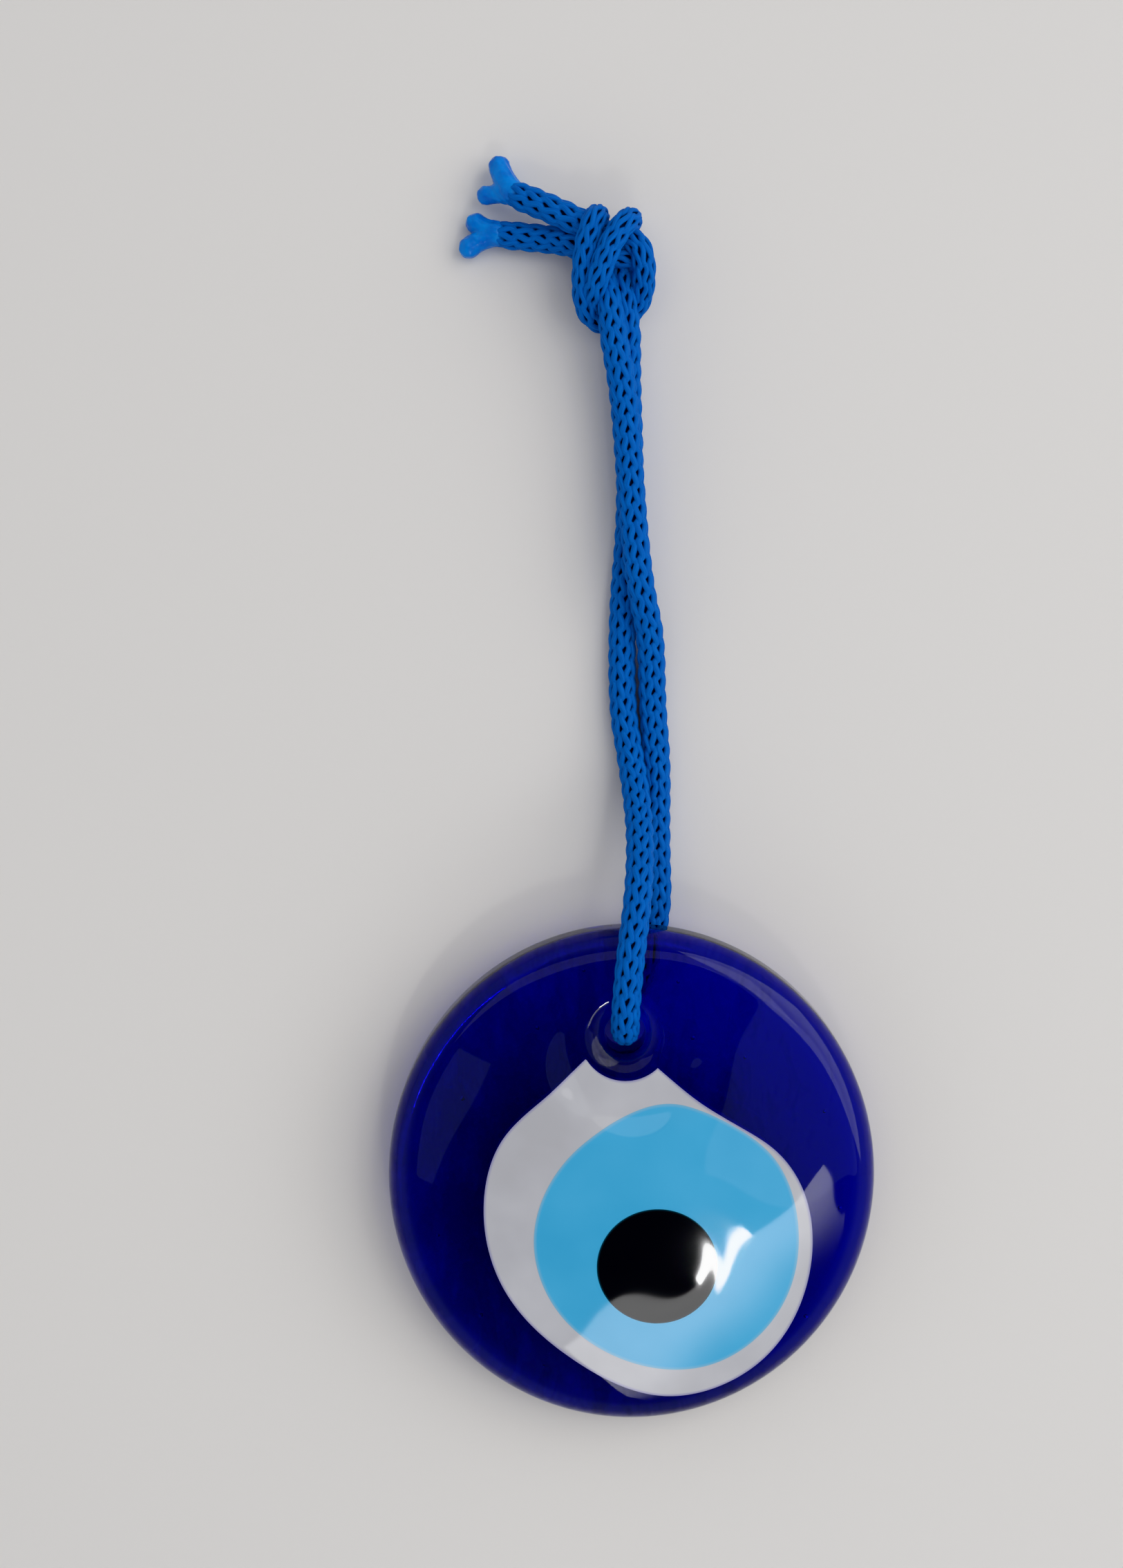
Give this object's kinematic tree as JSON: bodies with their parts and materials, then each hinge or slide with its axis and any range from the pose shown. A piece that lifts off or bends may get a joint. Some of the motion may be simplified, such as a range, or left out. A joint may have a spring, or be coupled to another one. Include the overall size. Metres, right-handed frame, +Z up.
{
  "type": "evil eye ornament",
  "caption": "Oval fused-glass disc with concentric eye-shaped colour drops and a hole, hung on a doubled knitted cord tied in an overhand knot with melted ends.",
  "frame": {"origin": "on the surface that the ornament lies on, under the middle of the glass disc's bounding box, cord not counted", "axes": "+Z up out of the surface and out of the eye's face, +Y along the surface from the glass towards the knot, +X to the right across the eye seen from its face"},
  "size_m": [0.05, 0.1302, 0.0135],
  "materials": {
    "cobalt_glass": "polished",
    "white_glass": "polished",
    "sky_blue_glass": "polished",
    "black_glass": "polished",
    "cord": "knitted yarn",
    "melted_cord": "melted and set"
  },
  "bodies": {
    "pendant": {"glass_body": "cobalt_glass", "white_drop": "white_glass", "sky_blue_drop": "sky_blue_glass", "pupil_drop": "black_glass"},
    "cord_lower": {"cord_through_hole": "cord"},
    "hang_loop": {"front_strand": "cord", "back_strand": "cord", "knot": "cord", "upper_tail": "cord", "lower_tail": "cord", "upper_melted_end": "melted_cord", "lower_melted_end": "melted_cord"}
  },
  "joints": [
    {"name": "cord_swing", "type": "hinge", "parent": "pendant", "child": "cord_lower", "pos_m": [-0.00075, 0.0153, 0.0069], "axis": [0, 0, 1], "range_deg": [-30, 30]},
    {"name": "cord_fold", "type": "hinge", "parent": "cord_lower", "child": "hang_loop", "pos_m": [0.0006, 0.05, 0.0015], "axis": [1, 0, 0], "range_deg": [0, 90]}
  ]
}
